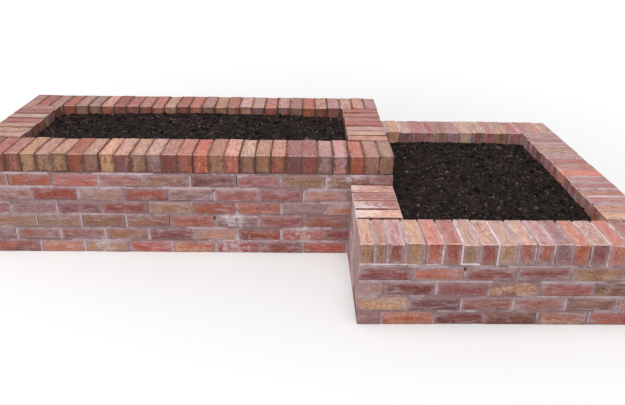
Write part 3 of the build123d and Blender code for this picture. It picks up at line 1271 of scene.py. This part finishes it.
# %% Walls
WALLS = {
    "tall_front": Wall("front", True, False, 1.0, 110),
    "tall_back": Wall("back", True, False, 1.0, 120),
    "tall_left": Wall("left", False, False, 1.0, 130),
    "tall_right": Wall("right", True, True, 1.0, 140),
    "low_front": Wall("front", True, True, 0.8, 210),
    "low_back": Wall("back", None, True, 1.0, 220),
    "low_left": Wall("left", False, None, 1.0, 230),
    "low_right": Wall("right", False, False, 1.0, 240),
}
INNER_SEED = 50
WALL_BRICK_WEAR = {"Arris": 0.003, "Waviness": 0.0016, "Chip Depth": 0.006, "Chip Share": 0.45}
WALL_JOINT_WEAR = {"Arris": 0.001, "Waviness": 0.0012, "Chip Depth": 0.002, "Chip Share": 0.4}


def both_boxes(*names):
    """The low and the high corner of the box round several nodes."""
    boxes = [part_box(name) for name in names]
    low = [min(box[0][axis] for box in boxes) for axis in range(3)]
    high = [max(box[1][axis] for box in boxes) for axis in range(3)]
    return low, high


def finish_piece(piece, slot, *nodes):
    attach(piece, "root")
    if nodes:
        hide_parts(*nodes)


for name, wall in WALLS.items():
    leaves = name + "_outer", name + "_inner"
    outer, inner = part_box(leaves[0]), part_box(leaves[1])
    limits, clay = both_boxes(*leaves), BRICKS["Wall Brick"]
    bricks = leaf_bricks(wall.seed, outer, wall)
    bricks += leaf_bricks(wall.seed + INNER_SEED, inner, wall, JOINT / 2)
    joints = leaf_joints(random.Random(wall.seed), outer, wall)
    laid = lay(name + "_bricks", bricks, WALL_BLANK, limits, clay, WALL_BRICK_WEAR)
    finish_piece(laid, "wall_brick", *leaves)
    filled = lay(name + "_joints", joints, MORTAR_BLANK, limits, WALL_MORTAR, WALL_JOINT_WEAR)
    finish_piece(filled, "wall_brick")
    finish_piece(pack_core(name + "_core", *limits, WALL_MORTAR), "wall_brick")
    print(name, "takes", len(bricks), "bricks and", len(joints), "lengths of mortar")

# %% [markdown]
# The coping is a row of bricks on edge, laid across the wall. How many there
# are was counted in the photograph, and the joints share what is left of the
# length. A row that runs on from another has a joint at that end too. The low
# front row starts with a narrow corner brick and a cut one, and the four of
# the left row are thicker than the rest.

# %% Coping rows
COPING_THICKNESS = 0.0705
WIDE_THICKNESS = 0.077
FIRST_BRICKS = 0.060, 0.045
FIRST_JOINT = 0.008
Coping = namedtuple("Coping", "seed count joined_ends mix raked thickness",
    defaults=[COPING_THICKNESS])
COPINGS = {
    "tall_front": Coping(41, 28, 0, "tall coping", True),
    "tall_back": Coping(42, 28, 0, "tall coping", True),
    "tall_left": Coping(43, 7, 2, "tall coping", True),
    "tall_right": Coping(44, 7, 2, "tall coping", True),
    "low_front": Coping(45, 16, 0, "low coping", False),
    "low_back": Coping(46, 15, 1, "low coping", False),
    "low_left": Coping(47, 4, 2, "sides of the low coping", True, WIDE_THICKNESS),
    "low_right": Coping(48, 14, 2, "sides of the low coping", False),
}


def even_row(coping, start, end):
    """Bricks from start to end, with the joints taking up what is left."""
    joints = coping.count - 1 + coping.joined_ends
    gap = (end - start - coping.count * coping.thickness) / joints
    first = start + (gap if coping.joined_ends else 0.0)
    places = [first + number * (coping.thickness + gap) for number in range(coping.count)]
    return [(place, place + coping.thickness) for place in places]


def coping_row(name, start, end):
    row = []
    for thickness in FIRST_BRICKS if name == "low_front" else ():
        row.append((start, start + thickness))
        start += thickness + FIRST_JOINT
    return row + even_row(COPINGS[name], start, end)


print("bricks counted in each row:", {name: coping.count for name, coping in COPINGS.items()})

# %% [markdown]
# A coping brick lies across the wall and is as long as the wall is thick, less
# a few millimetres. Its top stays below the frame's, by another amount for each
# brick, so the row is as uneven as a real one. Bricks on edge lean more than
# bricks that lie flat, and are given more than twice the lean.

# %% Coping bricks
TOP_SET_IN = 0.0008, 0.0042
LENGTH_SET_IN = 0.003, 0.008
COPING_OUT_OF_LINE = 0.0015
COPING_LEAN = 0.7


def coping_bricks(seed, box, along, row, mix):
    (low, high), across = box, 1 - along
    dice = random.Random(seed)
    bricks = []
    for (first, last), clay in zip(row, draw_clays(seed, mix, len(row))):
        height = high[2] - low[2] - dice.uniform(*TOP_SET_IN)
        length = high[across] - low[across] - dice.uniform(*LENGTH_SET_IN)
        middle = (first + last) / 2 + dice.uniform(-COPING_OUT_OF_LINE, COPING_OUT_OF_LINE)
        depth = (high[across] + low[across]) / 2 + dice.uniform(-OUT_OF_LINE, OUT_OF_LINE)
        centre = point(along, middle, depth, low[2] + height / 2)
        size = (last - first, length, height)
        bricks.append(one_brick(dice, clay, centre, size, along, lean=COPING_LEAN))
    return bricks


trial = coping_bricks(1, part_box("low_front_coping"), 0, [(0.0, COPING_THICKNESS)], "low coping")
print("sides of a trial brick in metres:", [round(side, 4) for side in trial[0]["size"]])

# %% [markdown]
# On the tall bed the coping's joints are raked out and look dark, and so do
# those of the low bed's left row. Its other rows have full, pale joints, though
# they stop short of the soil and leave a row of dark notches. Some full joints
# have shrunk a little from one of their bricks, and behind each lies a second
# length, set further back, that fills the crack. The mortar that these rows are
# bedded on was smeared up over the foot of the bricks. Each call gives where a
# length begins and ends, and how far it stays back outside, inside and below
# the top.

# %% Coping joints
RAKED_BACK = (0.004, 0.008), (0.010, 0.016), (0.0015, 0.004)
FULL_BACK = (0.003, 0.005), (0.012, 0.026), (0.0015, 0.004)
FILLER_BACK = 0.014, 0.028, 0.014
FULL_CRACK = -TUCK, 0.0018
BEDDING_LENGTH = 0.12, 0.3
BEDDING_RECESS = 0.0015, 0.0035
BEDDING_HEIGHT = 0.005, 0.009
LEAST_GAP = 0.003


def draw_each(dice, ranges):
    return [dice.uniform(*span) for span in ranges]


def raked_joint(dice, stop, begin):
    yield stop - TUCK, begin + TUCK, *draw_each(dice, RAKED_BACK)


def full_joint(dice, stop, begin):
    crack = dice.uniform(*FULL_CRACK)
    first, last = stop - TUCK, begin + TUCK
    if dice.random() < 0.5:
        last = begin - crack
    else:
        first = stop + crack
    yield first, last, *draw_each(dice, FULL_BACK)
    yield stop - TUCK, begin + TUCK, *FILLER_BACK


def bedding(dice, start, end, height):
    at = start
    while at < end:
        stop = min(at + dice.uniform(*BEDDING_LENGTH), end)
        recess = dice.uniform(*BEDDING_RECESS)
        yield at, stop, recess, BEHIND, height - dice.uniform(*BEDDING_HEIGHT)
        at = stop


def coping_joints(dice, box, side, row, raked):
    (low, high), (along, across) = box, axes_of(side)
    edges = [low[along], *(edge for span in row for edge in span), high[along]]
    gaps = [gap for gap in zip(edges[0::2], edges[1::2]) if gap[1] - gap[0] >= LEAST_GAP]
    lengths = [raked_joint(dice, *gap) if raked else full_joint(dice, *gap) for gap in gaps]
    if not raked:
        lengths.append(bedding(dice, low[along], high[along], high[2] - low[2]))
    joints = []
    for first, last, outer, inner, drop in chain.from_iterable(lengths):
        near, far = set_back(side, outer, inner)
        foot = point(along, max(first, low[along]), low[across] + near, low[2])
        top = point(along, min(last, high[along]), high[across] - far, high[2] - drop)
        joints.append(one_joint(dice, foot, top))
    return joints


print("lengths in 1 m of bedding:", len(list(bedding(random.Random(1), 0.0, 1.0, 0.1))))

# %% [markdown]
# Now the rows are laid, one on each wall. The bricks of a row stand in for its
# node in the frame, and its joints are a piece of their own beside them. Then
# the blanks have done their work and go, so that they aren't drawn.

# %% Coping
COPING_BRICK_WEAR = {"Arris": 0.0035, "Waviness": 0.0016, "Chip Depth": 0.007, "Chip Share": 0.44}
COPING_JOINT_WEAR = {"Arris": 0.001, "Waviness": 0.002, "Chip Depth": 0.003, "Chip Share": 0.45}

for name, coping in COPINGS.items():
    side, box = WALLS[name].side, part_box(name + "_coping")
    along, _ = axes_of(side)
    row = coping_row(name, box[0][along], box[1][along])
    bricks = coping_bricks(coping.seed, box, along, row, coping.mix)
    joints = coping_joints(random.Random(coping.seed), box, side, row, coping.raked)
    clay = BRICKS["Tall Coping Brick" if name.startswith("tall") else "Low Coping Brick"]
    mortar = RAKED_MORTAR if coping.raked else LOW_COPING_MORTAR
    laid = lay(name + "_coping_bricks", bricks, COPING_BLANK, box, clay, COPING_BRICK_WEAR)
    finish_piece(laid, "coping_brick", name + "_coping")
    filled = lay(name + "_coping_joints", joints, MORTAR_BLANK, box, mortar, COPING_JOINT_WEAR)
    finish_piece(filled, "coping_brick")
    print(name, "coping takes", len(bricks), "bricks with", len(joints), "joints")

for blank in (WALL_BLANK, COPING_BLANK, MORTAR_BLANK):
    bpy.data.objects.remove(blank)

# %% [markdown]
# Garden soil is almost black where it is damp and a dull brown where it has
# dried. It has hardly any shine: with the half that a new material starts with
# it would look like grey dust. Crumbs and splinters carry a tone of their own,
# and what carries none is the ground between them.

# %% Soil material
def soil_material():
    made, tree, shader, where = new_material("Garden Soil")
    broad = cloud(tree, where, 24.0, 6.0, 0.72)
    fine = cloud(tree, where, 150.0, 4.0, 0.7)
    shade = blend(tree, ease(tree, broad, 0.36, 0.66), colour(10, 8, 8), colour(42, 33, 31))
    shade = blend(tree, ease(tree, fine, 0.48, 0.72, 0.0, 0.6), shade, colour(76, 62, 58))
    tone = carried(tree, "crumb")
    loose, dark = ease(tree, tone, 0.0, 0.03), ease(tree, tone, 0.35, 0.55, 0.85, 0.0)
    shade = blend(tree, maths(tree, "MULTIPLY", loose, dark), shade, colour(10, 7, 7))
    shade = blend(tree, ease(tree, tone, 0.6, 1.0, 0.0, 0.75), shade, colour(110, 95, 88))
    roughness = ease(tree, broad, 0.3, 0.7, 0.88, 0.98)
    dress(tree, shader, shade, (fine, 0.8, 0.003), roughness, 0.08)
    return made


GARDEN_SOIL = soil_material()
print("materials in all:", len(bpy.data.materials))

# %% [markdown]
# The soil's surface is the top of a block cut very fine. It is highest in the
# middle, as the frame's heap is, and noise of two sizes breaks it into clods.
# A sculpted surface would do as well, but this one is made again by itself
# when the bed changes its size.

# %% Tilled ground
SOIL_SPACING = 0.01


def tilled_ground(tree, ins):
    block, size, middle = cut_block(tree, ins, "XY")
    place = point_place(tree)
    away = vectors(tree, "MULTIPLY", vectors(tree, "SUBTRACT", place, middle), (1, 1, 0))
    half = vectors(tree, "MULTIPLY", vectors(tree, "SCALE", size, 0.5), (1, 1, 0))
    away = vectors(tree, "DOT_PRODUCT", away, away)
    share = maths(tree, "DIVIDE", away, vectors(tree, "DOT_PRODUCT", half, half))
    clods = maths(tree, "MULTIPLY", maths(tree, "SUBTRACT", cloud(tree, place, 8.0), 0.5), 1.4)
    small = maths(tree, "SUBTRACT", cloud(tree, place, 34.0, 4.0, 0.65), 0.5)
    clods = maths(tree, "MULTIPLY", maths(tree, "MULTIPLY_ADD", small, 1.8, clods), ins["Lumps"])
    rise = maths(tree, "SUBTRACT", clods, maths(tree, "MULTIPLY", share, ins["Heap"]))
    top = maths(tree, "GREATER_THAN", parts(tree, place)[2], parts(tree, middle)[2])
    offset = node(tree, "ShaderNodeCombineXYZ", {2: maths(tree, "MULTIPLY", rise, top)}).outputs[0]
    return set_place(tree, block, Offset=offset)


low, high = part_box("tall_soil")
print("squares along the tall bed's soil:", math.ceil((high[0] - low[0]) / SOIL_SPACING))

# %% [markdown]
# Finer cutting would make crumbs too, at many times the faces. Loose shapes
# strewn over the ground do more for less: crumbs are balls of twenty faces,
# most of them small, and splinters of bark are thin cones that lie flat. They
# lie only on what faces up, and each is a little darker or lighter.

# %% Crumbs and splinters
FACING_UP = 0.3
FULL_TURN = 6.28


def random_vector(tree, low, high, seed=0):
    ports = {0: low, 1: high, "Seed": seed}
    return node(tree, "FunctionNodeRandomValue", ports, data_type="FLOAT_VECTOR").outputs[0]


def random_number(tree, seed=0):
    return node(tree, "FunctionNodeRandomValue", {"Seed": seed}, data_type="FLOAT").outputs[1]


def strew(tree, ground, shape, density, seed, turn, scale, tone_seed):
    """Scatter copies of a shape over all that faces up, each with a tone of its own."""
    up = parts(tree, shape_step(tree, "InputNormal"))[2]
    up = shape_step(tree, "FieldOnDomain", {0: up}, data_type="FLOAT", domain="FACE")
    upward = node(tree, "FunctionNodeCompare", {0: up, 1: FACING_UP},
        data_type="FLOAT", operation="GREATER_THAN").outputs[0]
    ports = {"Mesh": ground, "Selection": upward, "Density": density, "Seed": seed}
    points = shape_step(tree, "DistributePointsOnFaces", ports)
    ports = {"Points": points, "Instance": shape, "Rotation": turn, "Scale": scale}
    strewn = shape_step(tree, "InstanceOnPoints", ports)
    return store(tree, strewn, "crumb", random_number(tree, tone_seed), "FLOAT", "INSTANCE")


def crumbs(tree, ins, ground):
    ball = shape_step(tree, "MeshIcoSphere", {"Radius": 1.0, "Subdivisions": 1})
    turn = random_vector(tree, (0, 0, 0), (FULL_TURN, FULL_TURN, FULL_TURN), ins["Seed"])
    # The fourth power makes most crumbs small and a few of them large.
    big = maths(tree, "POWER", random_number(tree), 4.0)
    across = maths(tree, "MULTIPLY", maths(tree, "MULTIPLY_ADD", big, 2.2, 0.5), ins["Crumb Size"])
    scale = vectors(tree, "SCALE", random_vector(tree, (0.5, 0.5, 0.4), (1.5, 1.5, 1.1)), across)
    return strew(tree, ground, ball, ins["Crumbs"], ins["Seed"], turn, scale, 9)


def splinters(tree, ins, ground):
    ports = {"Vertices": 5, "Radius Top": 0.12, "Radius Bottom": 0.3, "Depth": 2.0}
    cone = shape_step(tree, "MeshCone", ports, fill_type="NGON")
    turn = random_vector(tree, (1.3, -0.2, 0.0), (1.85, 0.2, FULL_TURN), 5)
    scale = random_vector(tree, (0.3, 0.2, 0.4), (0.9, 0.5, 1.3), 6)
    scale = vectors(tree, "SCALE", scale, ins["Splinter Length"])
    seed = maths(tree, "ADD", ins["Seed"], 20.0)
    return strew(tree, ground, cone, ins["Splinters"], seed, turn, scale, 10)

# %% [markdown]
# The last tree joins the ground, its crumbs and its splinters. The two beds
# differ only in their seed and in how high they are heaped, so one list of
# values does for both.

# %% Soil
LOOSE_SOIL = {"Spacing": SOIL_SPACING, "Lumps": 0.012, "Crumbs": 2800.0, "Crumb Size": 0.0042,
              "Splinters": 2800.0, "Splinter Length": 0.013}


def soil_tiller():
    tree, ins, outs = new_group("Soil Tiller", "GeometryNodeTree", {
        "Geometry": "Geometry", "Low Corner": "Vector", "High Corner": "Vector",
        "Heap": 0.02, "Seed": 1, **LOOSE_SOIL, "Soil": "Material"}, {"Geometry": "Geometry"})
    ground = tilled_ground(tree, ins)
    smooth = shape_step(tree, "SetShadeSmooth", {0: ground})
    joined = node(tree, "GeometryNodeJoinGeometry")
    for geometry in (smooth, crumbs(tree, ins, ground), splinters(tree, ins, smooth)):
        tree.links.new(geometry, joined.inputs[0])
    send_out(tree, outs, joined.outputs[0], ins["Soil"])
    return tree


SOIL_TILLER = soil_tiller()
HEAPS = ("tall_soil", 0.020, 3), ("low_soil", 0.024, 4)

for name, heap, seed in HEAPS:
    low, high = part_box(name)
    soil = run_tree(carrier_of(name + "_tilled"), SOIL_TILLER, {
        "Low Corner": low, "High Corner": high, "Heap": heap, "Seed": seed,
        "Soil": GARDEN_SOIL, **LOOSE_SOIL})
    finish_piece(soil, "soil", name)
    print(name, "has", len(soil.data.polygons), "faces")
